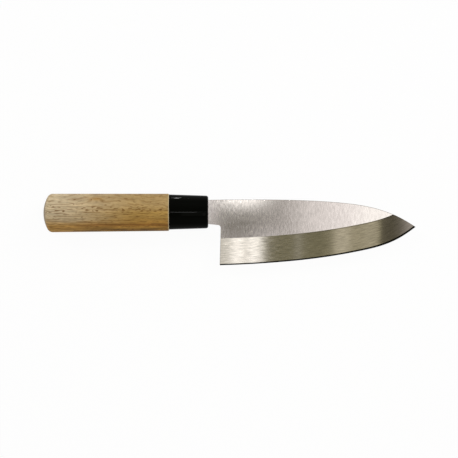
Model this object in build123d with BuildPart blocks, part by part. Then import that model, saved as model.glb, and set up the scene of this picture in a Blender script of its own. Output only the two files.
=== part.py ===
from build123d import *
from math import cos, radians, sin, tan
import os

# A single-bevel deba knife for the right hand: one forged blade whose tang is bedded in a wooden
# handle of chestnut section, behind a black moulded ferrule.
# The knife lies on its side. X runs from the butt to the tip, Y from the edge to the spine, and Z is
# up, out of the bevelled face. The origin lies under the middle of the whole knife, on the surface
# that the handle rests on. All sizes are in millimetres.

# Blade, seen from the bevelled side
blade_length = 150.0
heel_height = 50.0
neck_length = 8.7
neck_height = 18.5
neck_flare = 0.9
neck_radius = 2.2
heel_lean = 0.8

# Blade, through its thickness
blade_thickness = 5.0
point_thickness = 2.6
bevel_height = 20.5
edge_bevel_height = 0.8
edge_bevel_depth = 0.45
spine_ease = 0.5

# Hollow ground in the back face
hollow_rim = 2.6
hollow_radius = 480.0
hollow_heel_gap = 5.0
hollow_run = 18.0

# Tang
tang_length = 92.0
tang_height = 13.5
tang_end_height = 6.0
tang_thickness = 4.4
tang_end_thickness = 2.6
tang_corner = 0.8

# Slope of the flanks beside the ridge, in degrees
ridge_slope = 13.0

# Handle of wood
handle_length = 96.0
butt_height = 29.5
butt_thickness = 23.0
butt_drop = 0.8
butt_dome_radius = 26.0
butt_round = 4.5
shoulder_height = 28.4
shoulder_thickness = 21.9
shoulder_drop = 0.25
shoulder_round = 0.7
handle_ridge_radius = 5.0

# Ferrule
ferrule_length = 30.0
ferrule_back_height = 26.9
ferrule_back_thickness = 20.4
ferrule_front_height = 25.0
ferrule_front_thickness = 18.9
ferrule_face = 6.0
ferrule_wall = 2.6
ferrule_round = 0.9
ferrule_ridge_radius = 2.0

# Fits
tenon_clearance = 0.1
tenon_end_gap = 0.3
slot_clearance = 0.2
adhesive_thickness = 0.6
adhesive_end = 1.5
overrun = 10.0

# Shares: the ridge's of the handle's thickness, the flank's of its height and width, the butt cutter's
# of its radius, the outline's of the blade's length and heel height, and the hollow's of its length
ridge_share = 0.52
flank_share = 0.55
butt_cutter_share = 0.9
edge_shares = ((0, 0), (0.24, 0.034), (0.485, 0.104), (0.73, 0.228), (0.913, 0.411), (1, 0.587))
spine_shares = ((0.12, 1.006), (0.36, 1), (0.6, 0.963), (0.77, 0.89), (0.89, 0.772), (1, 0.587))
hollow_shares = (0.2, 0.4, 0.6, 0.75, 0.87, 0.95)

# Places along X
overall_length = handle_length + ferrule_length + neck_length + blade_length
butt_x = -overall_length / 2
shoulder_x = butt_x + handle_length
seat_x = shoulder_x + ferrule_length
heel_x = seat_x + neck_length
tip_x = heel_x + blade_length
socket_x = seat_x - ferrule_face
tenon_x = socket_x - tenon_end_gap
tang_x = seat_x - tang_length
bed_x = tang_x - adhesive_end

# Places across Y and Z
spine_y = (heel_height + neck_height / 2 + butt_drop - butt_height / 2) / 2
heel_y = spine_y - heel_height
grip_y = spine_y - neck_height / 2
grip_z = butt_thickness * (1 - ridge_share)
back_z = grip_z - blade_thickness / 2


def across(x, drop=0):
    """The plane square to the handle at x, with its own x along Y and its own y along Z."""
    return Plane(origin=(x, grip_y - drop, grip_z), x_dir=(0, 1, 0), z_dir=(1, 0, 0))


def outline_point(length_share, height_share):
    """A point of the blade's outline, from the heel's corner."""
    return Vector(heel_x + length_share * blade_length, heel_y + height_share * heel_height)


def flat_z(x):
    """Height of the blade's front flat, which thins from the neck to the tip."""
    thinning = (blade_thickness - point_thickness) * (x - seat_x) / (tip_x - seat_x)
    return back_z + blade_thickness - thinning


def chestnut_section(height, thickness, ridge_radius):
    """An oval with one ridge on the upper side, drawn round the handle's axis."""
    side = height / 2
    ridge = thickness * ridge_share
    reach = side * flank_share
    with BuildLine() as outline:
        EllipticalCenterArc((0, 0), side, thickness - ridge, start_angle=180, arc_size=180)
        for end, pull in ((side, reach), (-side, -reach)):
            Bezier(
                (end, 0),
                (end, ridge * flank_share),
                (pull, ridge - reach * tan(radians(ridge_slope))),
                (0, ridge),
            )
    make_face(outline.edges())
    fillet(vertices().sort_by(Axis.Y)[-1], radius=ridge_radius)


def tang_section(x, clearance=0):
    """The tang's section at x, grown by a clearance on every side."""
    run = (seat_x - x) / tang_length
    height = tang_height + (tang_end_height - tang_height) * run
    thickness = tang_thickness + (tang_end_thickness - tang_thickness) * run
    RectangleRounded(height + 2 * clearance, thickness + 2 * clearance, tang_corner + clearance)


def edge_line(rise=0):
    """The cutting edge from the heel to the tip, moved up by rise."""
    return Spline(*[outline_point(*share) + Vector(0, rise) for share in edge_shares])


def spine_line():
    """The spine from the neck to the tip."""
    return Spline(Vector(seat_x, spine_y), *[outline_point(*share) for share in spine_shares])


def ground_region(rise):
    """All that lies below a line of the bevel, rise above the edge."""
    with BuildLine() as outline:
        line = edge_line(rise)
        heel_end = line @ 0 - overrun * (line % 0)
        tip_end = line @ 1 + overrun * (line % 1)
        low = heel_y - overrun
        Line(heel_end, line @ 0)
        Line(line @ 1, tip_end)
        Polyline(tip_end, (tip_end.X, low), (heel_end.X, low), heel_end)
    make_face(outline.edges())


def hollow_section(low, high):
    """A shallow arc of the grinding wheel between two points of the back face."""
    width = high - low
    depth = hollow_radius - (hollow_radius**2 - (width / 2) ** 2) ** 0.5
    with BuildLine() as outline:
        ThreePointArc((low, 0), (low + width / 2, depth), (high, 0))
        Polyline((high, 0), (high, -overrun), (low, -overrun), (low, 0))
    make_face(outline.edges())


# Waste of the bevels
front_flat = Plane(
    origin=(0, 0, flat_z(0)),
    x_dir=(tip_x - seat_x, 0, flat_z(tip_x) - flat_z(seat_x)),
    z_dir=(flat_z(seat_x) - flat_z(tip_x), 0, tip_x - seat_x),
)
bevel_levels = (
    (Plane.XY.offset(back_z - overrun), 0),
    (Plane.XY.offset(back_z), 0),
    (Plane.XY.offset(back_z + edge_bevel_depth), edge_bevel_height),
    (front_flat, bevel_height),
    (front_flat.offset(overrun), bevel_height),
)

with BuildPart() as bevel_waste:
    for level, rise in bevel_levels:
        with BuildSketch(level):
            ground_region(rise)
    loft(ruled=True)

# Waste of the hollow in the back face, which runs out in a round end before the heel
round_end = [
    (heel_x + hollow_heel_gap + hollow_run * (1 - cos(radians(turn))), sin(radians(turn)))
    for turn in (15, 40, 65, 90)
]
full_x = round_end[-1][0]
full_width = [(full_x + share * (tip_x - full_x), 1) for share in hollow_shares]

with BuildPart() as hollow_waste:
    low_line = edge_line()
    high_line = spine_line()
    for x, width_share in round_end + full_width:
        low = low_line.intersect(Plane.YZ.offset(x))[0].Y + hollow_rim
        high = high_line.intersect(Plane.YZ.offset(x))[0].Y - hollow_rim
        trim = (high - low) * (1 - width_share) / 2
        with BuildSketch(Plane(origin=(x, 0, back_z), x_dir=(0, 1, 0), z_dir=(1, 0, 0))):
            hollow_section(low + trim, high - trim)
    loft()

# Blade with its neck and tang
with BuildPart() as blade:
    with BuildSketch(Plane.XY.offset(back_z)):
        with BuildLine():
            spine = spine_line()
            margin = overrun / 2
            tip_end = spine @ 1 + margin * (spine % 1)
            blank_low = heel_y - margin
            neck_low = spine_y - neck_height
            heel_top = (heel_x + heel_lean, neck_low - neck_flare)
            Line(spine @ 1, tip_end)
            Polyline(
                tip_end,
                (tip_end.X, blank_low),
                (heel_x, blank_low),
                (heel_x, heel_y),
                heel_top,
                (seat_x, neck_low),
                (seat_x, spine_y),
            )
        make_face()
        fillet(vertices().sort_by_distance(heel_top)[0], radius=neck_radius)
    extrude(amount=blade_thickness)
    split(bisect_by=front_flat, keep=Keep.BOTTOM)
    chamfer(faces().sort_by(Axis.Z)[-1].edges().sort_by(Axis.Y)[-1], length=spine_ease)
    add(bevel_waste.part, mode=Mode.SUBTRACT)
    add(hollow_waste.part, mode=Mode.SUBTRACT)
    for x in (seat_x, tang_x):
        with BuildSketch(across(x)):
            tang_section(x)
    loft(ruled=True)
    fillet(faces().sort_by(Axis.X)[0].edges(), radius=tang_corner)

# Handle of wood, with the tenon for the ferrule and the cavity for the tang
with BuildPart() as handle:
    with BuildSketch(across(butt_x, butt_drop)):
        chestnut_section(butt_height, butt_thickness, handle_ridge_radius)
    with BuildSketch(across(shoulder_x, shoulder_drop)):
        chestnut_section(shoulder_height, shoulder_thickness, handle_ridge_radius)
    loft()
    fillet(faces().sort_by(Axis.X)[-1].edges(), radius=shoulder_round)
    butt_centre = (butt_x, grip_y - butt_drop, grip_z)
    with BuildSketch(Plane(origin=butt_centre, x_dir=(1, 0, 0), z_dir=(0, 0, 1))):
        dome_side = butt_dome_radius * butt_cutter_share
        dome_depth = butt_dome_radius - (butt_dome_radius**2 - dome_side**2) ** 0.5
        with BuildLine():
            RadiusArc((0, 0), (dome_depth, dome_side), butt_dome_radius)
            Polyline((dome_depth, dome_side), (-overrun, dome_side), (-overrun, 0), (0, 0))
        make_face()
    revolve(axis=Axis(butt_centre, (1, 0, 0)), mode=Mode.SUBTRACT)
    fillet(faces().sort_by(Axis.X)[0].edges(), radius=butt_round)
    with BuildSketch(across(shoulder_x)):
        Ellipse(
            ferrule_front_height / 2 - ferrule_wall - tenon_clearance,
            ferrule_front_thickness / 2 - ferrule_wall - tenon_clearance,
        )
    extrude(amount=tenon_x - shoulder_x)
    for x in (bed_x, tenon_x):
        with BuildSketch(across(x)):
            tang_section(x, adhesive_thickness)
    loft(ruled=True, mode=Mode.SUBTRACT)

# Ferrule, a moulded cap over the tenon with a slot for the tang
with BuildPart() as ferrule:
    with BuildSketch(across(shoulder_x)):
        chestnut_section(ferrule_back_height, ferrule_back_thickness, ferrule_ridge_radius)
    with BuildSketch(across(seat_x)):
        chestnut_section(ferrule_front_height, ferrule_front_thickness, ferrule_ridge_radius)
    loft()
    fillet(faces().sort_by(Axis.X)[-1].edges(), radius=ferrule_round)
    with BuildSketch(across(shoulder_x)):
        Ellipse(ferrule_front_height / 2 - ferrule_wall, ferrule_front_thickness / 2 - ferrule_wall)
    extrude(amount=socket_x - shoulder_x, mode=Mode.SUBTRACT)
    for x in (socket_x - overrun, seat_x + overrun):
        with BuildSketch(across(x)):
            tang_section(x, slot_clearance)
    loft(ruled=True, mode=Mode.SUBTRACT)

# Adhesive that beds the tang in the wood
with BuildPart() as tang_adhesive:
    for x in (bed_x, tenon_x):
        with BuildSketch(across(x)):
            tang_section(x, adhesive_thickness)
    loft(ruled=True)
    add(blade.part, mode=Mode.SUBTRACT)

os.makedirs("parts", exist_ok=True)
for name, piece in (
    ("blade", blade),
    ("handle", handle),
    ("ferrule", ferrule),
    ("tang_adhesive", tang_adhesive),
):
    piece.part.label = name
    export_step(piece.part, f"parts/{name}.step")
    print(name, piece.part.is_valid, len(piece.solids()), round(piece.part.volume, 1))
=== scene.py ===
import math

import bmesh
import bpy
import numpy as np
from bpy.props import FloatProperty, FloatVectorProperty, IntProperty, PointerProperty
from mathutils import Matrix, Vector


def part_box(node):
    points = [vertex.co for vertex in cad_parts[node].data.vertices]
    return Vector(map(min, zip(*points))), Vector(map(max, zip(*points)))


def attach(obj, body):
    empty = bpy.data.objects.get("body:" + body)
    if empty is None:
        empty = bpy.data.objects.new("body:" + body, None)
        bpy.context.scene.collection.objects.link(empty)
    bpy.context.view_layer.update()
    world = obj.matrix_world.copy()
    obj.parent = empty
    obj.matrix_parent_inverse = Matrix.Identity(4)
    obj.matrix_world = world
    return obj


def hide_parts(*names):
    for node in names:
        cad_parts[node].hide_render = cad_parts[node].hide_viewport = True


bl_info = {
    "name": "Deba knife",
    "version": (1, 0, 0),
    "blender": (4, 5, 0),
    "location": "View3D > Sidebar > Knife",
    "description": "Models and finishes the visible pieces of a deba knife round its solid model",
    "category": "Object",
}

# The knife lies on its side: X runs from the butt to the tip, Y from the edge to the spine, and Z
# is up, out of the bevelled face. All lengths are in metres.
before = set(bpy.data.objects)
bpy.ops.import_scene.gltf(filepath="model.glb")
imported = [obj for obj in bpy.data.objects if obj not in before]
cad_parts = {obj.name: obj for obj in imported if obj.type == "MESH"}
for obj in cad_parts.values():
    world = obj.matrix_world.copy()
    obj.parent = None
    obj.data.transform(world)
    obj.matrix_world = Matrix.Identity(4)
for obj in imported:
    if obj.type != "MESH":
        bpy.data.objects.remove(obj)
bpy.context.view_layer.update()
blade_low, blade_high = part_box("blade")
handle_low, handle_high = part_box("handle")
ferrule_low, ferrule_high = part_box("ferrule")

# Edge and spine, in shares of the blade's length and of the heel's height
EDGE_SHARES = ((0, 0), (0.24, 0.034), (0.485, 0.104), (0.73, 0.228), (0.913, 0.411), (1, 0.587))
SPINE_SHARES = ((0.12, 1.006), (0.36, 1), (0.6, 0.963), (0.77, 0.89), (0.89, 0.772), (1, 0.587))

# Chestnut section: the ridge's share of the thickness, and the flanks' fullness and slope
RIDGE_SHARE = 0.52
FLANK_SHARE = 0.55
RIDGE_SLOPE = math.tan(math.radians(13))

# Points of every section round the handle's axis
FLANK_POINTS = 26
CREST_POINTS = 6
LOWER_POINTS = 48

# Rings over the butt's dome and again round its rim, along the wood and along the ferrule
BUTT_RINGS = 10
WOOD_RINGS = 14
FERRULE_RINGS = 6

# The dome's smallest ring as a share of its widest, and in roundings of the butt's rim the places
# of the section that shapes the butt and of the first ring of the wood
DOME_START_SHARE = 0.06
BUTT_SECTION = 1.35
WOOD_START = 2.2

# Points of the neck's outline, along the spine and round the corner to the heel
NECK_POINTS = 5
NECK_CORNER_POINTS = 9

# The hollow of the back: steps along it, and where it ends before the tip, as a share of the blade
HOLLOW_STATIONS = 64
HOLLOW_END_SHARE = 0.03

# Places nearer than this are one place
TOUCH = 1e-7

# Radians past which an edge is shaded as sharp, and past which it counts as a corner to be rounded
SHARP_ANGLE = math.radians(35)
CORNER_ANGLE = 1.0

# The blade's materials, one for each way of grinding
FLAT, BEVEL, EDGE, HOLLOW, RIM, SIDE = range(6)

# Marks in the wood: where they lie, and how far they reach from there
KNOT_X, KNOT_Y = -0.1015, 0.0233
KNOT_LENGTH, KNOT_HEIGHT = 0.0065, 0.0017
PORE_ROW_Y, PORE_ROW_REACH = 0.015, 0.0018
STREAK_Y, STREAK_REACH = 0.0033, 0.0009

# Zones of the wood: golden below one height, deeper below another, and pale on the butt's side of x
GOLDEN_Y = 0.0195
DEEP_Y = 0.0112
PALE_X = -0.068

# Each lit card hangs this much higher than the last, so that no two lie in one plane
CARD_STEP = 0.002


def length(name, description, default):
    """A property for a length in metres."""
    return FloatProperty(
        name=name, description=description, default=default, min=0, precision=5, unit="LENGTH"
    )


def number(name, description, default):
    """A property for a plain number."""
    return FloatProperty(name=name, description=description, default=default)


def colour(name, description, default):
    """A property for a colour."""
    return FloatVectorProperty(
        name=name, description=description, default=default, min=0, max=1, subtype="COLOR"
    )


class KnifeBlade(bpy.types.PropertyGroup):
    blade_length: length("Length", "Edge from heel to tip", 0.150)
    heel_height: length("Heel height", "Blade from edge to spine at the heel", 0.050)
    heel_lean: length("Heel lean", "How far the heel's line leans towards the tip", 0.0008)
    neck_height: length("Neck height", "Height of the neck behind the heel", 0.0185)
    neck_flare: length("Neck flare", "How much the neck grows from the ferrule to the heel", 0.0009)
    neck_radius: length("Neck radius", "Round of the corner between neck and heel", 0.0022)
    thickness: length("Thickness", "Thickness at the neck", 0.005)
    point_thickness: length("Point thickness", "Thickness that the flat would have at the tip", 0.0026)
    bevel_height: length("Bevel height", "Height of the bevel above the edge", 0.0205)
    edge_height: length("Edge bevel height", "Height of the second bevel", 0.0008)
    edge_depth: length("Edge bevel depth", "Rise of the second bevel", 0.00045)
    hollow_rim: length("Rim", "Flat rim round the hollow of the back", 0.0026)
    hollow_radius: length("Hollow radius", "Radius of the hollow in the back", 0.480)
    hollow_gap: length("Hollow gap", "From the heel to the hollow", 0.005)
    hollow_run: length("Hollow run", "Length of the hollow's round end", 0.018)
    ease: length("Ease", "Rounding of the spine, the heel and the neck", 0.00035)
    stations: IntProperty(name="Stations", description="Steps along the edge", default=96, min=12)
    steel: colour("Steel", "Colour of the steel", (0.66, 0.62, 0.59))
    # Painted shade: the second bevel is coloured near-black to stand in for how dark the polished edge
    # looks, not the steel's own colour
    edge_painted_shade: colour("Dark steel", "Colour along the cutting edge", (0.02, 0.02, 0.016))


class KnifeHandle(bpy.types.PropertyGroup):
    butt_height: length("Butt height", "Height at the butt", 0.0295)
    butt_thickness: length("Butt thickness", "Thickness at the butt", 0.023)
    butt_drop: length("Butt drop", "How far the butt's axis lies below the knife's axis", 0.0008)
    dome_radius: length("Dome radius", "Radius of the domed butt", 0.026)
    butt_round: length("Butt round", "Rounding between the dome and the sides", 0.0045)
    shoulder_height: length("Shoulder height", "Height at the ferrule", 0.0284)
    shoulder_thickness: length("Shoulder thickness", "Thickness at the ferrule", 0.0219)
    shoulder_drop: length("Shoulder drop", "How far the shoulder's axis lies below the axis", 0.00025)
    shoulder_round: length("Shoulder round", "Rounding of the front rim", 0.0007)
    ridge_radius: length("Ridge radius", "Rounding of the ridge", 0.005)
    tan_wood: colour("Tan wood", "Colour of the upper side", (0.342, 0.234, 0.099))
    golden_wood: colour("Golden wood", "Colour of the ridge", (0.36, 0.222, 0.062))
    deep_wood: colour("Deep wood", "Colour of the lower side", (0.38, 0.205, 0.045))
    red_wood: colour("Red wood", "Colour of the streak low on the side", (0.2, 0.085, 0.018))
    pale_wood: colour("Pale wood", "Colour near the butt", (0.5, 0.405, 0.265))
    rim_wood: colour("Rim wood", "Colour of the front rim", (0.62, 0.54, 0.36))
    # Partly painted shade: the end grain's grey also stands in for the shade round the butt's rim
    end_grain_and_shade: colour("End wood", "Colour of the end grain", (0.24, 0.2, 0.15))
    line: colour("Line", "Colour of the grain's fine lines", (0.19, 0.1, 0.028))
    pore: colour("Pore", "Colour of the pores", (0.14, 0.062, 0.016))


class KnifeFerrule(bpy.types.PropertyGroup):
    back_height: length("Back height", "Height at the wood", 0.0269)
    back_thickness: length("Back thickness", "Thickness at the wood", 0.0204)
    front_height: length("Front height", "Height at the blade", 0.025)
    front_thickness: length("Front thickness", "Thickness at the blade", 0.0189)
    face: length("Face", "Thickness of the front face", 0.006)
    wall: length("Wall", "Thickness of the wall round the tenon", 0.0026)
    front_round: length("Front round", "Rounding of the front rim", 0.0016)
    ridge_radius: length("Ridge radius", "Rounding of the ridge", 0.002)
    black: colour("Black", "Colour of the moulding", (0.0016, 0.0018, 0.0013))


class KnifeTang(bpy.types.PropertyGroup):
    height: length("Height", "Height of the tang at the neck", 0.0135)
    end_height: length("End height", "Height of the tang's end", 0.006)
    thickness: length("Thickness", "Thickness of the tang at the neck", 0.0044)
    end_thickness: length("End thickness", "Thickness of the tang's end", 0.0026)
    corner: length("Corner", "Rounding of the tang's corners", 0.0008)
    slot_clearance: length("Slot clearance", "Between the tang and the ferrule's slot", 0.0002)
    bed: length("Bed", "Thickness of the adhesive round the tang", 0.0006)
    bed_end: length("Bed end", "Thickness of the adhesive behind the tang", 0.0015)
    tenon_clearance: length("Tenon clearance", "Between the tenon and the ferrule", 0.0001)
    adhesive: colour("Adhesive", "Colour of the adhesive", (0.32, 0.25, 0.15))


class KnifeStage(bpy.types.PropertyGroup):
    camera_place: FloatVectorProperty(
        name="Camera place",
        description="Where the camera hangs over the knife",
        default=(-0.0005, 0.0004, 2.0),
        precision=5,
        unit="LENGTH",
    )
    frame_width: length("Frame width", "Width of the picture at the floor", 0.3523)
    floor_size: length("Floor size", "Side of the floor", 8.0)
    floor_colour: colour("Floor colour", "Colour of the floor", (0.9, 0.9, 0.9))
    glow: number("Glow", "Share of the floor that reads as plain white", 0.95)
    card_height: length("Card height", "Height of the lit cards over the blade", 0.6)
    pale: colour("Pale", "Colour of the room near the floor", (1.0, 0.98, 0.95))
    mild: colour("Mild", "Colour of the room's walls", (0.4, 0.39, 0.37))
    dim: colour("Dim", "Colour of the room overhead", (0.11, 0.1, 0.068))


def grip_axis(x, drop=0.0):
    """A point of the axis that handle, ferrule and tang share."""
    blade = bpy.context.scene.knife_blade
    spine_y = blade_low.y + blade.heel_height
    return Vector((x, spine_y - blade.neck_height / 2 - drop, blade_low.z + blade.thickness / 2))


def heel_at(blade):
    """The x of the heel."""
    return blade_high.x - blade.blade_length


def tapered(start, end, share):
    """A size that changes evenly from start to end."""
    return start + (end - start) * share


def curve_through(points):
    """A smooth height over x: a cubic spline through the points."""
    xs, ys = np.array(points, float).T
    gaps = np.diff(xs)
    slopes = np.diff(ys) / gaps
    bends = np.diff(slopes) / (gaps[:-1] + gaps[1:])
    rows = np.eye(len(xs))
    wanted = np.zeros(len(xs))
    wanted[0] = slopes[0] - gaps[0] * bends[0]
    wanted[-1] = slopes[-1] + gaps[-1] * bends[-1]
    for i in range(1, len(xs) - 1):
        rows[i, i - 1 : i + 2] = gaps[i], 2 * (gaps[i - 1] + gaps[i]), gaps[i - 1]
        wanted[i] = 3 * (gaps[i] * slopes[i - 1] + gaps[i - 1] * slopes[i])
    tangents = np.linalg.solve(rows, wanted)

    def height(x):
        i = int(np.clip(np.searchsorted(xs, x) - 1, 0, len(gaps) - 1))
        t = (x - xs[i]) / gaps[i]
        start = (1 + 2 * t) * (1 - t) ** 2 * ys[i] + t * (1 - t) ** 2 * gaps[i] * tangents[i]
        end = t * t * (3 - 2 * t) * ys[i + 1] + t * t * (t - 1) * gaps[i] * tangents[i + 1]
        return float(start + end)

    return height


def halved(low, high, below, times=40):
    """The place between low and high up to which below is true."""
    for _ in range(times):
        middle = (low + high) / 2
        low, high = (middle, high) if below(middle) else (low, middle)
    return low


def ring_edges(bm, ring):
    """The edges of a closed ring of vertices."""
    return [bm.edges.get(pair) for pair in zip(ring, ring[1:] + ring[:1])]


def sweep(bm, rings):
    """Extrudes a ring of vertices through places, and returns all the rings."""
    ring = bmesh.ops.create_circle(bm, segments=len(rings[0]), radius=1)["verts"]
    made = [ring]
    for place, vertex in zip(rings[0], ring):
        vertex.co = place
    for places in rings[1:]:
        fresh = bmesh.ops.extrude_edge_only(bm, edges=ring_edges(bm, ring))["geom"]
        fresh = {item for item in fresh if isinstance(item, bmesh.types.BMVert)}
        ring = [next(e.other_vert(v) for e in v.link_edges if e.other_vert(v) in fresh) for v in ring]
        for place, vertex in zip(places, ring):
            vertex.co = place
        made.append(ring)
    return made


def round_edges(bm, edges, width, segments):
    """Rounds the edges and returns the new faces."""
    return bmesh.ops.bevel(
        bm, geom=edges, offset=width, segments=segments, affect="EDGES", profile=0.5, material=-1
    )["faces"]


def finished(bm, name, node, materials):
    """Makes the mesh an object that stands for a node of the solid model."""
    bmesh.ops.recalc_face_normals(bm, faces=bm.faces)
    for face in bm.faces:
        face.smooth = True
    for edge in bm.edges:
        alike = len({face.material_index for face in edge.link_faces}) == 1
        edge.smooth = alike and edge.calc_face_angle(0) < SHARP_ANGLE
    mesh = bpy.data.meshes.new(name)
    bm.to_mesh(mesh)
    bm.free()
    for material in materials:
        mesh.materials.append(material)
    piece = bpy.data.objects.new(name, mesh)
    bpy.context.scene.collection.objects.link(piece)
    modifier = piece.modifiers.new("weighted normals", "WEIGHTED_NORMAL")
    modifier.keep_sharp = True
    modifier.weight = 100
    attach(piece, "root")
    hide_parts(node)
    return piece


class Wire:
    """An output in a node tree, on which arithmetic adds Math nodes."""

    def __init__(self, tree, socket=None):
        self.tree = tree
        self.socket = socket

    def node(self, kind, settings, values, output=0):
        """Adds a node: settings first, then the values or the wires of its inputs."""
        node = self.tree.nodes.new("ShaderNode" + kind)
        for name, value in settings.items():
            setattr(node, name, value)
        for name, value in values.items():
            if isinstance(value, Wire):
                self.tree.links.new(value.socket, node.inputs[name])
            elif hasattr(value, "__len__") and len(value) == 3 and node.inputs[name].type == "RGBA":
                node.inputs[name].default_value = (*value, 1)
            else:
                node.inputs[name].default_value = value
        return Wire(self.tree, node.outputs[output]) if node.outputs else self

    def math(self, operation, first, second):
        return self.node("Math", {"operation": operation}, {0: first, 1: second})

    def __add__(self, other):
        return self.math("ADD", self, other)

    def __radd__(self, other):
        return self.math("ADD", other, self)

    def __sub__(self, other):
        return self.math("SUBTRACT", self, other)

    def __rsub__(self, other):
        return self.math("SUBTRACT", other, self)

    def __mul__(self, other):
        return self.math("MULTIPLY", self, other)

    def __rmul__(self, other):
        return self.math("MULTIPLY", other, self)

    def __truediv__(self, other):
        return self.math("DIVIDE", self, other)

    def __rtruediv__(self, other):
        return self.math("DIVIDE", other, self)


def new_tree(owner):
    """Gives a material or a world an empty node tree, and returns its start."""
    owner.use_nodes = True
    owner.node_tree.nodes.clear()
    return Wire(owner.node_tree)


def parts(vector):
    """The three numbers of a vector."""
    return [vector.node("SeparateXYZ", {}, {0: vector}, output=i) for i in range(3)]


def step(value, low, high):
    """0 below low, 1 above high and smooth between."""
    values = {"Value": value, "From Min": low, "From Max": high}
    return value.node("MapRange", {"interpolation_type": "SMOOTHSTEP"}, values)


def noise(x, y, z, detail=2.0, roughness=0.5):
    """Noise at three numbers, with a period of about 1, so x * 60.0 gives 60 waves to the metre."""
    place = x.node("CombineXYZ", {}, {0: x, 1: y, 2: z})
    values = {"Vector": place, "Scale": 1.0, "Detail": detail, "Roughness": roughness}
    return x.node("TexNoise", {}, values)


def peak(value, middle, reach):
    """1 where the value is at the middle, a half at one reach from it, and less beyond."""
    away = (value - middle) / reach
    return 1.0 / (1.0 + away * away)


def blend(share, first, second):
    """The first colour where share is 0 and the second where it is 1."""
    return share.node("Mix", {"data_type": "RGBA"}, {0: share, 6: first, 7: second}, output=2)


def shaded(tone, shade):
    """A colour made lighter or darker by a number."""
    grey = shade.node("CombineColor", {}, {0: shade, 1: shade, 2: shade})
    settings = {"data_type": "RGBA", "blend_type": "MULTIPLY"}
    return shade.node("Mix", settings, {0: 1.0, 6: tone, 7: grey}, output=2)


def new_material(name):
    """A material, the start of its tree, and the wires of the piece's own x, y and z."""
    material = bpy.data.materials.new(name)
    start = new_tree(material)
    return material, start, parts(start.node("TexCoord", {}, {}, output="Object"))


def surface(start, values):
    """Adds the shader with these inputs."""
    start.node("OutputMaterial", {}, {0: start.node("BsdfPrincipled", {}, values)})


def paint_edge_shade(tone, dark, x, rise):
    """Paints shade on the second bevel, which widens to the tip, and a line of painted shade where bevel
    and flat meet.
    """
    blade = bpy.context.scene.knife_blade
    along = (x - heel_at(blade)) / blade.blade_length
    width = (along * along * along + 1.3) * blade.edge_height
    # Painted shade: a near-black band along the cutting edge, widening towards the tip
    tone = blend(step(rise - width, -0.0002, 0.0002), dark, tone)
    # Painted shade: a darker line along the top of the bevel, where it meets the flat
    crest_painted_shade = step(rise - blade.bevel_height, -0.0011, -0.0005) * step(x, 0.03, 0.09)
    return shaded(tone, 1.0 - crest_painted_shade * 0.4)


def brushed(name, tone, roughness, across, spread, streak, dark=None):
    """Steel with fine grooves, across the blade or along its edge.

    Spread is how far the grooves tilt the surface, streak is how much they change its tone, and
    dark is the near-black colour painted on the second bevel as shade, where it is given.
    """
    material, start, (x, y, z) = new_material(name)
    rise = start.node("Attribute", {"attribute_name": "rise"}, {}, output="Fac")
    if across:
        groove = noise(x * 1300.0, y * 300.0, z * 300.0, detail=1)
        streak = (step(0.06 - x, 0.0, 0.06) + 1.0) * streak
    else:
        groove = noise(rise * 1300.0, x * 170.0, 0.0, detail=2)
    cloud = noise(x * 110.0, y * 150.0, z * 150.0, detail=2)
    tone = shaded(tone, 1.0 + (groove - 0.5) * streak + (cloud - 0.5) * 0.04)
    if dark is not None:
        tone = paint_edge_shade(tone, dark, x, rise)
    lean = start.node("CombineXYZ", {}, {0 if across else 1: (groove - 0.5) * spread})
    normal = start.node("NewGeometry", {}, {}, output="Normal")
    normal = start.node("VectorMath", {"operation": "ADD"}, {0: normal, 1: lean})
    values = {
        "Base Color": tone,
        "Metallic": 1.0,
        "Roughness": roughness + (cloud - 0.5) * 0.015,
        "Normal": start.node("VectorMath", {"operation": "NORMALIZE"}, {0: normal}),
    }
    surface(start, values)
    return material


def wood_flow(x, y, z):
    """How the grain runs: its height over the wood, its slow wave, and its swirl round the knot."""
    wave = noise(x * 22.0, y * 60.0, z * 60.0) - 0.5
    ripple = (noise(x * 240.0, y * 340.0, z * 340.0) - 0.5) * step(x, -0.12, -0.06)
    knot_x, knot_y = (x - KNOT_X) / KNOT_LENGTH, (y - KNOT_Y) / KNOT_HEIGHT
    swirl = 1.0 / (1.0 + knot_x * knot_x + knot_y * knot_y)
    grain = y + z * 0.4 + wave * 0.004 + ripple * 0.0021 - swirl * 0.003
    return grain, wave, swirl


def wood_lines(x, z, grain):
    """Fine brown lines along the grain, broken here and there."""
    drift = (noise(x * 45.0, grain * 160.0, z * 45.0) - 0.5) * 0.005
    rings = grain.math("SINE", (grain + drift) * 3400.0, 0.0)
    broken = noise(x * 130.0, grain * 420.0, z * 300.0, detail=1)
    return step(rings, 0.0, 1.0) * step(broken, 0.37, 0.57)


def wood_pores(x, y, z, grain):
    """Short dark pores, crowded along one row."""
    dash = noise(x * 290.0, grain * 1250.0, z * 900.0, detail=0)
    return step(dash + peak(y, PORE_ROW_Y, PORE_ROW_REACH) * 0.13, 0.71, 0.8)


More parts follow.
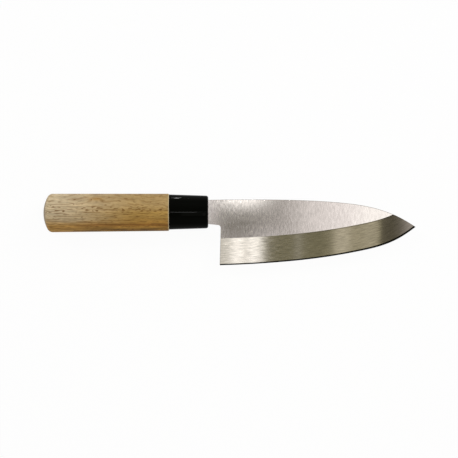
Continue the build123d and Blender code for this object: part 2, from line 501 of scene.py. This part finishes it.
def wood_material(handle):
    """Tan wood with wavy brown grain and short dark pores, redder low on the side, paler at the butt."""
    material, start, (x, y, z) = new_material("handle wood")
    grain, wave, swirl = wood_flow(x, y, z)
    fibre = noise(x * 60.0, grain * 560.0, z * 300.0, detail=4, roughness=0.7)
    band = noise(x * 12.0, grain * 130.0, z * 60.0, detail=2)
    pores = wood_pores(x, y, z, grain)
    flecks = step(noise(x * 280.0, grain * 900.0, z * 800.0, detail=1), 0.5, 0.68)

    # Zones: golden, low on the side, the red streak, pale at the butt, end grain with painted shade, and
    # front rim
    golden = step(GOLDEN_Y - y + (band - 0.5) * 0.008, 0.0, 0.007)
    low = step(DEEP_Y - y + (band - 0.5) * 0.016, 0.0, 0.0095)
    red = peak(y + wave * 0.004, STREAK_Y, STREAK_REACH) * step(x, -0.125, -0.1)
    pale = step(PALE_X - x, 0.0, 0.075) * (1.0 - low * 0.9)
    facing = parts(start.node("TexCoord", {}, {}, output="Normal"))[0]
    # End grain where the surface faces the butt: darker as its own colour, and greyer as painted shade
    # round the butt's rim
    end = step(0.0 - facing, 0.7, 0.97)
    rim = step(x - (ferrule_low.x - handle.shoulder_round), 0.0, 0.0003)

    tone = blend(golden, handle.tan_wood, handle.golden_wood)
    tone = blend(low, tone, handle.deep_wood)
    tone = blend(red * 0.85, tone, handle.red_wood)
    tone = blend(pale, tone, handle.pale_wood)
    tone = blend(swirl * swirl * 0.7, tone, handle.deep_wood)
    # Painted shade: the wood darkened near its top, and more near its bottom from the middle to the
    # ferrule
    brink_painted_shade = step(y, 0.02, 0.025) * 0.12 + step(0.003 - y, 0.0, 0.004) * step(x, -0.13, -0.1) * 0.45
    fine = (fibre - 0.5) * (golden * 0.25 + low * 0.6 + 1.1) + (band - 0.5) * 0.4
    tone = shaded(tone, fine + 1.13 - brink_painted_shade - flecks * 0.16)
    tone = blend(wood_lines(x, z, grain) * (golden * 0.13 + low * 0.2 + 0.42), tone, handle.line)
    tone = blend(pores * 0.8, tone, handle.pore)
    tone = blend(end * 0.8, tone, handle.end_grain_and_shade)
    tone = blend(rim * 0.7, tone, handle.rim_wood)
    height = fibre * 0.5 - pores
    values = {
        "Base Color": tone,
        "Roughness": 0.52 + fibre * 0.2,
        "Specular IOR Level": 0.12,
        "Normal": start.node("Bump", {}, {"Strength": 0.4, "Distance": 0.0001, "Height": height}),
    }
    surface(start, values)
    return material


def black_material(ferrule):
    """Glossy black moulding with a faint flow in its surface."""
    material, start, (x, y, z) = new_material("ferrule black")
    flow = noise(x * 70.0, y * 160.0, z * 160.0)
    rub = noise(x * 400.0, y * 2600.0, z * 2600.0, detail=3)
    values = {
        "Base Color": blend(flow, ferrule.black, (0.0022, 0.0024, 0.0018)),
        "Roughness": 0.02 + rub * 0.02,
        "Specular IOR Level": 0.03,
        "Normal": start.node("Bump", {}, {"Strength": 0.02, "Distance": 0.0002, "Height": flow}),
    }
    surface(start, values)
    return material


def adhesive_material(tang):
    """Amber adhesive with fine bubbles."""
    material, start, (x, y, z) = new_material("adhesive")
    bubbles = step(noise(x * 900.0, y * 900.0, z * 900.0), 0.55, 0.7)
    values = {
        "Base Color": blend(bubbles, tang.adhesive, (0.45, 0.38, 0.26)),
        "Roughness": 0.4 + bubbles * 0.2,
        "Normal": start.node("Bump", {}, {"Strength": 0.3, "Distance": 0.0002, "Height": bubbles}),
    }
    surface(start, values)
    return material


def blade_lines(blade):
    """The heights of the cutting edge and of the spine over x."""
    heel = Vector((heel_at(blade), blade_low.y))
    scale = Vector((blade.blade_length, blade.heel_height))
    edge = curve_through([heel + scale * Vector(share) for share in EDGE_SHARES])
    seat = (ferrule_high.x, blade_low.y + blade.heel_height)
    spine = curve_through([seat, *(heel + scale * Vector(share) for share in SPINE_SHARES)])
    return edge, spine


def neck_outline(blade, spine):
    """The outline round the neck, from the spine over the heel to the rounded corner below."""
    heel_x = heel_at(blade)
    neck_y = blade_low.y + blade.heel_height - blade.neck_height
    corner = Vector((heel_x + blade.heel_lean, neck_y - blade.neck_flare))
    to_seat = (Vector((ferrule_high.x, neck_y)) - corner).normalized()
    to_heel = (Vector((heel_x, blade_low.y)) - corner).normalized()
    half = to_seat.angle(to_heel) / 2
    centre = corner + (to_seat + to_heel).normalized() * blade.neck_radius / math.sin(half)
    start = (corner + to_seat * blade.neck_radius / math.tan(half) - centre).normalized()
    end = (corner + to_heel * blade.neck_radius / math.tan(half) - centre).normalized()
    xs = np.linspace(heel_x, ferrule_high.x, NECK_POINTS)[1:]
    places = [Vector((x, spine(x))) for x in xs]
    places.append(Vector((ferrule_high.x, neck_y)))
    for turn in np.linspace(0, 1, NECK_CORNER_POINTS):
        places.append(centre + start.slerp(end, turn) * blade.neck_radius)
    return places


def shell_rings(blade):
    """The blade's outline at the back, at the second bevel's top and at the bevel's top."""
    edge, spine = blade_lines(blade)
    heel_x, tip_x = heel_at(blade), blade_high.x
    neck = neck_outline(blade, spine)
    turns = np.linspace(0, math.pi / 2, blade.stations + 1)
    xs = {heel_x + blade.blade_length * math.sin(turn) for turn in turns}
    for rise in (blade.edge_height, blade.bevel_height):
        xs.add(halved(heel_x, tip_x, lambda x: spine(x) - edge(x) > rise))
    xs = sorted(xs)

    def flat(x):
        """Height of the flat, which falls from the neck to the tip."""
        share = (x - ferrule_high.x) / (tip_x - ferrule_high.x)
        return blade_low.z + tapered(blade.thickness, blade.point_thickness, share)

    def front(x, y):
        """Height of the front at a place: second bevel, bevel or flat."""
        above = y - edge(max(x, heel_x))
        if above < blade.edge_height:
            return blade_low.z + blade.edge_depth * max(above, 0) / blade.edge_height
        share = min((above - blade.edge_height) / (blade.bevel_height - blade.edge_height), 1)
        start = blade_low.z + blade.edge_depth
        return start + (flat(x) - start) * share

    # Each ring's rise above the edge, and the most that it may stand over the back: 1 is no limit
    rings = []
    for rise, top in ((0, 0), (blade.edge_height, blade.edge_depth), (blade.bevel_height, 1)):
        low = [Vector((x, min(edge(x) + rise, spine(x)))) for x in xs]
        low[0].x += blade.heel_lean * rise / (neck[-1].y - blade_low.y)
        high = [Vector((x, spine(x))) for x in xs[-2::-1]]
        outline = low + high + neck
        rings.append([Vector((*p, min(front(p.x, p.y), blade_low.z + top))) for p in outline])
    return rings


def hollow_rings(blade):
    """Rings of the hollow in the back, from its middle line to its rim."""
    edge, spine = blade_lines(blade)
    first_x = heel_at(blade) + blade.hollow_gap
    last_x = blade_high.x - blade.blade_length * HOLLOW_END_SHARE
    turns = np.linspace(0, math.pi / 2, HOLLOW_STATIONS)
    xs = [tapered(first_x, last_x, math.sin(turn) ** 2) for turn in turns]
    rings = []
    for share in (0, 0.2, 0.4, 0.6, 0.8, 1):
        sides = []
        for side in (-1, 1):
            places = []
            for x in xs:
                low, high = edge(x) + blade.hollow_rim, spine(x) - blade.hollow_rim
                run = min((x - first_x) / blade.hollow_run, 1) if x < xs[-1] else 0
                half = (high - low) / 2 * math.sqrt(1 - (1 - run) ** 2)
                depth = (half**2 - (half * share) ** 2) / (2 * blade.hollow_radius)
                places.append(Vector((x, (low + high) / 2 + side * half * share, blade_low.z + depth)))
            sides.append(places)
        rings.append(sides[0] + sides[1][-2:0:-1])
    return rings


def close_shell(bm, blade):
    """Merges points that coincide, then fills the flat of the blade and the rim of its back."""
    bmesh.ops.remove_doubles(bm, verts=bm.verts, dist=TOUCH)
    bmesh.ops.dissolve_degenerate(bm, edges=bm.edges, dist=TOUCH)
    rims = [e for e in bm.edges if e.is_boundary]
    top = [e for e in rims if min(v.co.z for v in e.verts) > blade_low.z + blade.edge_depth]
    back = [e for e in rims if max(v.co.z for v in e.verts) < blade_low.z + TOUCH]
    bmesh.ops.edgeloop_fill(bm, edges=top)
    bmesh.ops.triangle_fill(bm, edges=back, use_beauty=True, normal=(0, 0, -1))
    bmesh.ops.recalc_face_normals(bm, faces=bm.faces)


def draw_tang(bm, blade, tang):
    """Draws the tapered tang out of the neck's end and rounds its corners."""
    seat_x = ferrule_high.x
    ends = [f for f in bm.faces if f.normal.x < -0.99]
    ends = [f for f in ends if f.calc_center_median().x < seat_x + 10 * TOUCH]
    root = bmesh.ops.dissolve_faces(bm, faces=ends)["region"][0]
    centre = Matrix.Translation(-grip_axis(seat_x))
    bmesh.ops.inset_individual(bm, faces=[root], thickness=0)
    shrink = (1, tang.height / blade.neck_height, tang.thickness / blade.thickness)
    bmesh.ops.scale(bm, vec=shrink, space=centre, verts=root.verts)
    end = bmesh.ops.extrude_discrete_faces(bm, faces=[root])["faces"][0]
    shrink = (1, tang.end_height / tang.height, tang.end_thickness / tang.thickness)
    bmesh.ops.scale(bm, vec=shrink, space=centre, verts=end.verts)
    bmesh.ops.translate(bm, vec=(blade_low.x - seat_x, 0, 0), verts=end.verts)
    sharp = [e for e in bm.edges if e.calc_face_angle(0) > CORNER_ANGLE]
    corners = [e for e in sharp if min(v.co.x for v in e.verts) < seat_x - 10 * TOUCH]
    round_edges(bm, corners, tang.corner, segments=3)


def grind(bm):
    """Gives each face the steel of its way of grinding, told by how level it lies."""
    for face in bm.faces:
        level = face.normal.z
        if level < -0.9:
            face.material_index = RIM if level < -0.9999999 else HOLLOW
        elif level > 0.999:
            face.material_index = FLAT
        elif level > 0.95:
            face.material_index = BEVEL
        elif level > 0.7:
            face.material_index = EDGE
        else:
            face.material_index = SIDE


def ease_outline(bm, blade, edge):
    """Rounds the spine above the flat, the heel and the neck."""

    def eased(e):
        middle = (e.verts[0].co + e.verts[1].co) / 2
        along = max(v.co.x for v in e.verts) > ferrule_high.x + 10 * TOUCH
        behind = middle.x < heel_at(blade) + blade.heel_lean
        clear = 2 * blade.edge_height if behind else blade.bevel_height
        sharp = e.calc_face_angle(0) > CORNER_ANGLE
        return along and middle.y > edge(middle.x) + clear and sharp

    for face in round_edges(bm, [e for e in bm.edges if eased(e)], blade.ease, segments=3):
        face.material_index = SIDE
    bmesh.ops.dissolve_degenerate(bm, edges=bm.edges, dist=TOUCH)


def blade_materials(blade):
    """The steels in the order of the ways of grinding."""
    steel, dark = blade.steel, blade.edge_painted_shade
    return [
        brushed("steel flat", steel, roughness=0.1, across=True, spread=0.015, streak=0.4),
        brushed("steel bevel", steel, roughness=0.07, across=False, spread=0.08, streak=0.95, dark=dark),
        # Painted shade: the second bevel's steel is coloured near-black
        brushed("steel edge painted shade", dark, roughness=0.12, across=False, spread=0.04, streak=0.35),
        brushed("steel hollow", steel, roughness=0.2, across=True, spread=0.06, streak=0.5),
        brushed("steel rim", steel, roughness=0.12, across=False, spread=0.04, streak=0.4),
        brushed("steel side", steel, roughness=0.25, across=True, spread=0.06, streak=0.4),
    ]


class KNIFE_OT_blade(bpy.types.Operator):
    """Model the blade with its neck and tang, and brush each ground face its own way"""

    bl_idname = "knife.blade"
    bl_label = "Blade"

    def execute(self, context):
        blade = context.scene.knife_blade
        edge, _ = blade_lines(blade)
        bm = bmesh.new()
        sweep(bm, shell_rings(blade))
        sweep(bm, hollow_rings(blade))
        close_shell(bm, blade)
        draw_tang(bm, blade, context.scene.knife_tang)
        grind(bm)
        ease_outline(bm, blade, edge)
        materials = blade_materials(blade)
        piece = finished(bm, "blade_steel_piece", "blade", materials)

        # How far each point lies above the cutting edge, for the grooves along the bevel
        rise = piece.data.attributes.new("rise", "FLOAT", "POINT")
        for item, vertex in zip(rise.data, piece.data.vertices):
            item.value = vertex.co.y - edge(max(vertex.co.x, heel_at(blade)))
        return {"FINISHED"}


def chestnut(height, thickness, ridge_radius):
    """Points of a section with one rounded ridge on top and half an ellipse below."""
    side, ridge = height / 2, thickness * RIDGE_SHARE
    reach = side * FLANK_SHARE
    pulls = [(side, 0), (side, ridge * FLANK_SHARE), (reach, ridge - reach * RIDGE_SLOPE), (0, ridge)]
    pulls = [Vector(pull) for pull in pulls]

    def flank(u):
        """A point of the flank and the direction out of it."""
        first = [a.lerp(b, u) for a, b in zip(pulls, pulls[1:])]
        second = [a.lerp(b, u) for a, b in zip(first, first[1:])]
        along = (second[1] - second[0]).normalized()
        return second[0].lerp(second[1], u), Vector((along.y, -along.x))

    def outside(u):
        point, out = flank(u)
        return point.x > ridge_radius * out.x

    meeting = halved(0, 1, outside)
    right = [flank(meeting * i / FLANK_POINTS)[0] for i in range(FLANK_POINTS)]
    point, out = flank(meeting)
    centre = point - out * ridge_radius
    tilt = math.atan2(out.x, out.y)
    for i in range(CREST_POINTS + 1):
        turn = tilt * (1 - i / CREST_POINTS)
        right.append(centre + Vector((math.sin(turn), math.cos(turn))) * ridge_radius)
    left = [Vector((-p.x, p.y)) for p in right[-2:0:-1]]
    lower = [math.pi + math.pi * i / LOWER_POINTS for i in range(LOWER_POINTS)]
    depth = thickness - ridge
    return right + left + [Vector((side * math.cos(a), depth * math.sin(a))) for a in lower]


def round_box(height, thickness, corner=None):
    """Points of a rectangle with round corners, or of an ellipse where no corner is given."""
    upper = 2 * (FLANK_POINTS + CREST_POINTS)
    angles = [math.pi * i / upper for i in range(upper)]
    angles += [math.pi + math.pi * i / LOWER_POINTS for i in range(LOWER_POINTS)]
    points = []
    for angle in angles:
        c, s = math.cos(angle), math.sin(angle)
        grow = 1 if corner is None else 1 / max(abs(c), abs(s))
        point = Vector((height / 2 * abs(c) * grow, thickness / 2 * abs(s) * grow))
        if corner is not None:
            inner = Vector((height / 2 - corner, thickness / 2 - corner))
            if point.x > inner.x and point.y > inner.y:
                point = inner + (point - inner).normalized() * corner
        points.append(Vector((math.copysign(point.x, c), math.copysign(point.y, s))))
    return points


def tang_section(tang, x, grow):
    """Points round the tang at x, grown by a clearance on every side."""
    run = (ferrule_high.x - x) / (ferrule_high.x - blade_low.x)
    height = tapered(tang.height, tang.end_height, run) + 2 * grow
    thickness = tapered(tang.thickness, tang.end_thickness, run) + 2 * grow
    return round_box(height, thickness, tang.corner + grow)


def ring_at(x, points, drop=0.0):
    """Places round the axis at x, for the points of a section."""
    axis = grip_axis(x, drop)
    return [axis + Vector((0, p.x, p.y)) for p in points]


def wood_section(handle, x):
    """Points of the wood's section at x, and how far it lies below the axis."""
    share = (x - handle_low.x) / (ferrule_low.x - handle_low.x)
    height = tapered(handle.butt_height, handle.shoulder_height, share)
    thickness = tapered(handle.butt_thickness, handle.shoulder_thickness, share)
    drop = tapered(handle.butt_drop, handle.shoulder_drop, share)
    return chestnut(height, thickness, handle.ridge_radius), drop


def butt_rings(handle):
    """Rings over the domed butt, then round its rim to the sides."""
    butt_x, dome, rim = handle_low.x, handle.dome_radius, handle.butt_round
    points, drop = wood_section(handle, butt_x + BUTT_SECTION * rim)
    rests = [math.asin((p.length - rim) / (dome - rim)) for p in points]
    rings = []
    for share in np.linspace(DOME_START_SHARE, 1, BUTT_RINGS):
        ring = []
        for point, rest in zip(points, rests):
            out = point.normalized() * dome * math.sin(rest * share)
            x = butt_x + dome * (1 - math.cos(rest * share))
            ring.append(grip_axis(x, drop) + Vector((0, out.x, out.y)))
        rings.append(ring)
    for share in np.linspace(0, 1, BUTT_RINGS)[1:]:
        ring = []
        for point, rest in zip(points, rests):
            turn = tapered(rest, math.pi / 2, share)
            out = point - point.normalized() * rim * (1 - math.sin(turn))
            x = butt_x + dome - (dome - rim) * math.cos(rest) - rim * math.cos(turn)
            ring.append(grip_axis(x, drop) + Vector((0, out.x, out.y)))
        rings.append(ring)
    return rings


class KNIFE_OT_handle(bpy.types.Operator):
    """Model the wooden handle with its tenon and the cavity for the tang"""

    bl_idname = "knife.handle"
    bl_label = "Handle"

    def execute(self, context):
        handle = context.scene.knife_handle
        ferrule = context.scene.knife_ferrule
        tang = context.scene.knife_tang
        shoulder_x, tenon_x = ferrule_low.x, handle_high.x
        rings = butt_rings(handle)
        wood_x = handle_low.x + WOOD_START * handle.butt_round
        for x in np.linspace(wood_x, shoulder_x, WOOD_RINGS):
            rings.append(ring_at(x, *wood_section(handle, x)))
        rim = len(rings) - 1
        clearance = 2 * (ferrule.wall + tang.tenon_clearance)
        tenon = round_box(ferrule.front_height - clearance, ferrule.front_thickness - clearance)
        rings += [ring_at(shoulder_x, tenon), ring_at(tenon_x, tenon)]
        for x in (tenon_x, blade_low.x - tang.bed_end):
            rings.append(ring_at(x, tang_section(tang, x, tang.bed)))

        bm = bmesh.new()
        made = sweep(bm, rings)
        for ring in (made[0], made[-1]):
            bmesh.ops.edgeloop_fill(bm, edges=ring_edges(bm, ring))
        round_edges(bm, ring_edges(bm, made[rim]), handle.shoulder_round, segments=3)
        finished(bm, "handle_wood_piece", "handle", [wood_material(handle)])
        return {"FINISHED"}


class KNIFE_OT_ferrule(bpy.types.Operator):
    """Model the moulded ferrule with its slot and its socket"""

    bl_idname = "knife.ferrule"
    bl_label = "Ferrule"

    def execute(self, context):
        ferrule = context.scene.knife_ferrule
        tang = context.scene.knife_tang
        back_x, front_x = ferrule_low.x, ferrule_high.x
        socket_x = front_x - ferrule.face
        rings = []
        for share in np.linspace(0, 1, FERRULE_RINGS):
            height = tapered(ferrule.back_height, ferrule.front_height, share)
            thickness = tapered(ferrule.back_thickness, ferrule.front_thickness, share)
            points = chestnut(height, thickness, ferrule.ridge_radius)
            rings.append(ring_at(tapered(back_x, front_x, share), points))
        rim = len(rings) - 1
        for x in (front_x, socket_x):
            rings.append(ring_at(x, tang_section(tang, x, tang.slot_clearance)))
        walls = 2 * ferrule.wall
        socket = round_box(ferrule.front_height - walls, ferrule.front_thickness - walls)
        rings += [ring_at(socket_x, socket), ring_at(back_x, socket)]

        bm = bmesh.new()
        made = sweep(bm, rings)
        bmesh.ops.bridge_loops(bm, edges=ring_edges(bm, made[-1]) + ring_edges(bm, made[0]))
        round_edges(bm, ring_edges(bm, made[rim]), ferrule.front_round, segments=4)
        finished(bm, "ferrule_black_piece", "ferrule", [black_material(ferrule)])
        return {"FINISHED"}


class KNIFE_OT_adhesive(bpy.types.Operator):
    """Give the adhesive bed of the tang its finish"""

    bl_idname = "knife.adhesive"
    bl_label = "Adhesive"

    def execute(self, context):
        material = adhesive_material(context.scene.knife_tang)
        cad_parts["tang_adhesive"].material_slots[0].material = material
        return {"FINISHED"}


def soft_light(name, place, size, radiance, tone=(1, 1, 1), aim=None, mirrored=True):
    """A rectangular lamp that the camera doesn't see. It shines down, or towards aim.

    The steel and the ferrule mirror it only where mirrored is true.
    """
    data = bpy.data.lights.new(name, "AREA")
    data.shape = "RECTANGLE"
    data.size, data.size_y = size
    data.color = tone
    data.energy = radiance * math.pi * size[0] * size[1]
    lamp = bpy.data.objects.new(name, data)
    lamp.location = place
    if aim is not None:
        lamp.rotation_euler = (Vector(aim) - Vector(place)).to_track_quat("-Z", "Y").to_euler()
    lamp.visible_camera = False
    lamp.visible_glossy = mirrored
    bpy.context.scene.collection.objects.link(lamp)


def card(name, x, y, radiance, tone=(1, 1, 1)):
    """A lit card over the blade, from one x and y to the other. Each new card hangs a little higher."""
    height = bpy.context.scene.knife_stage.card_height + CARD_STEP * len(bpy.data.lights)
    place = (sum(x) / 2, sum(y) / 2, height)
    soft_light(name, place, (x[1] - x[0], y[1] - y[0]), radiance, tone)


def lay_floor(stage):
    """A level pale floor that reads as white and keeps the knife's shadow."""
    bm = bmesh.new()
    bmesh.ops.create_grid(bm, x_segments=1, y_segments=1, size=stage.floor_size / 2)
    mesh = bpy.data.meshes.new("floor")
    bm.to_mesh(mesh)
    bm.free()
    material, start, (x, y, z) = new_material("floor")
    tone = shaded(stage.floor_colour, 1.0 + (noise(x * 40.0, y * 40.0, z) - 0.5) * 0.01)
    matte = start.node("BsdfDiffuse", {}, {"Color": tone})
    white = start.node("Emission", {}, {"Color": (1, 1, 1), "Strength": 1.0})
    rays = ("Is Camera Ray", "Is Glossy Ray", "Is Transmission Ray")
    seen = [start.node("LightPath", {}, {}, output=ray) for ray in rays]
    share = (seen[0] + seen[1] + seen[2]) * stage.glow
    both = start.node("MixShader", {}, {0: share, 1: matte, 2: white})
    start.node("OutputMaterial", {}, {0: both})
    mesh.materials.append(material)
    floor = bpy.data.objects.new("floor", mesh)
    bpy.context.scene.collection.objects.link(floor)


def light_room(stage):
    """A room that is pale near the floor and dim overhead."""
    world = bpy.data.worlds.new("studio")
    start = new_tree(world)
    up = parts(start.node("TexCoord", {}, {}, output="Generated"))[2]
    room = blend(step(up, 0.05, 0.5), stage.pale, stage.mild)
    room = blend(step(up, 0.7, 0.84), room, stage.dim)
    start.node("OutputWorld", {}, {0: start.node("Background", {}, {0: room, 1: 1.0})})
    bpy.context.scene.world = world


def hang_flat_cards():
    """Cards that the flat of the blade mirrors: side by side to the tip, then nested at the spine."""
    rosy, cool = (1, 0.97, 0.99), (0.98, 0.96, 1)
    sides = (0.045, 0.063, 0.074, 0.079, 0.087, 0.097, 0.118, 0.138, 0.149)
    for i, x in enumerate(zip(sides, sides[1:])):
        card("flat card", x, y=(-0.06, 0.3), radiance=0.15 * (i + 1), tone=rosy)
    card("point card", x=(sides[-1], 0.5), y=(-0.06, 0.3), radiance=1.35)
    for inset, south, radiance in ((0.0, 0.028, 0.8), (0.008, 0.026, 0.85), (0.016, 0.024, 0.95)):
        card("spine card", x=(inset, 0.062 - inset), y=(south, 0.2), radiance=radiance)
    card("neck card", x=(-0.1, 0.004), y=(-0.02, 0.2), radiance=0.72, tone=cool)
    card("low card", x=(0.036, 0.07), y=(-0.07, 0.004), radiance=0.24, tone=cool)
    card("low card", x=(0.012, 0.07), y=(-0.07, -0.006), radiance=0.3, tone=cool)


def hang_bevel_cards():
    """Cards that the bevel mirrors, from the heel to the tip."""
    sand = (1, 0.95, 0.85)
    card("heel card", x=(-0.015, 0.0624), y=(-0.4, -0.2), radiance=0.6)
    card("bright card", x=(0.022, 0.037), y=(-0.4, -0.2), radiance=0.75)
    card("bright card", x=(0.043, 0.058), y=(-0.4, -0.2), radiance=0.75)
    card("bevel shade", x=(-0.015, 0.216), y=(-0.4, -0.1), radiance=0.11, tone=(1, 0.95, 0.5))
    card("streak card", x=(0.1, 0.108), y=(-0.4, -0.1), radiance=0.18)
    card("middle card", x=(0.147, 0.2135), y=(-0.3, -0.1), radiance=0.19, tone=(1, 0.9, 0.68))
    card("khaki card", x=(0.15, 0.168), y=(-0.3, -0.1), radiance=0.22, tone=sand)
    card("far card", x=(0.184, 0.2085), y=(-0.3, -0.1), radiance=0.08, tone=sand)
    for west, radiance in ((0.257, 0.03), (0.2695, 0.05), (0.28, 0.08), (0.288, 0.12)):
        card("tip card", x=(west, 0.4), y=(-0.25, -0.1), radiance=radiance, tone=(1, 0.93, 0.9))


def light_handle():
    """The line of light along the ferrule's ridge, the glint above it, and the light on the wood."""
    card("ridge card", x=(-0.027, 0.001), y=(-0.26, -0.04), radiance=17.0)
    soft_light("glint", (-0.016, 1.2, 0.09), (0.004, 0.2), radiance=90.0, aim=(-0.04, 0, 0.02))

    # Large lamps, too bright for the steel to mirror
    for name, place, radiance in (
        ("left back", (-1.15, 1.0, 1.0), 5.5),
        ("right back", (1.15, 1.0, 1.0), 5.5),
        ("left front", (-1.2, -0.9, 0.9), 0.6),
    ):
        soft_light(name, place, (0.8, 0.8), radiance, aim=(0, 0, 0), mirrored=False)


def place_camera(stage):
    """A camera that looks straight down on the knife."""
    data = bpy.data.cameras.new("camera")
    data.lens = data.sensor_width * stage.camera_place[2] / stage.frame_width
    camera = bpy.data.objects.new("camera", data)
    camera.location = stage.camera_place
    bpy.context.scene.collection.objects.link(camera)
    bpy.context.scene.camera = camera


class KNIFE_OT_stage(bpy.types.Operator):
    """Make the floor, the soft studio light and the camera"""

    bl_idname = "knife.stage"
    bl_label = "Stage"

    def execute(self, context):
        stage = context.scene.knife_stage
        lay_floor(stage)
        light_room(stage)
        hang_flat_cards()
        hang_bevel_cards()
        light_handle()
        place_camera(stage)
        context.scene.view_settings.view_transform = "Standard"
        return {"FINISHED"}


class KNIFE_PT_panel(bpy.types.Panel):
    bl_idname = "KNIFE_PT_panel"
    bl_label = "Deba knife"
    bl_space_type = "VIEW_3D"
    bl_region_type = "UI"
    bl_category = "Knife"

    def draw(self, context):
        for name, group in GROUPS.items():
            settings = getattr(context.scene, name)
            for key in group.__annotations__:
                self.layout.prop(settings, key)
        for operator in OPERATORS:
            self.layout.operator(operator.bl_idname)


GROUPS = {
    "knife_blade": KnifeBlade,
    "knife_handle": KnifeHandle,
    "knife_ferrule": KnifeFerrule,
    "knife_tang": KnifeTang,
    "knife_stage": KnifeStage,
}
OPERATORS = (KNIFE_OT_blade, KNIFE_OT_handle, KNIFE_OT_ferrule, KNIFE_OT_adhesive, KNIFE_OT_stage)


def register():
    for name, group in GROUPS.items():
        bpy.utils.register_class(group)
        setattr(bpy.types.Scene, name, PointerProperty(type=group))
    for item in (*OPERATORS, KNIFE_PT_panel):
        bpy.utils.register_class(item)


def unregister():
    for item in (KNIFE_PT_panel, *reversed(OPERATORS)):
        bpy.utils.unregister_class(item)
    for name, group in GROUPS.items():
        delattr(bpy.types.Scene, name)
        bpy.utils.unregister_class(group)


def main():
    register()
    bpy.ops.knife.blade()
    bpy.ops.knife.handle()
    bpy.ops.knife.ferrule()
    bpy.ops.knife.adhesive()
    bpy.ops.knife.stage()


if __name__ == "__main__":
    main()
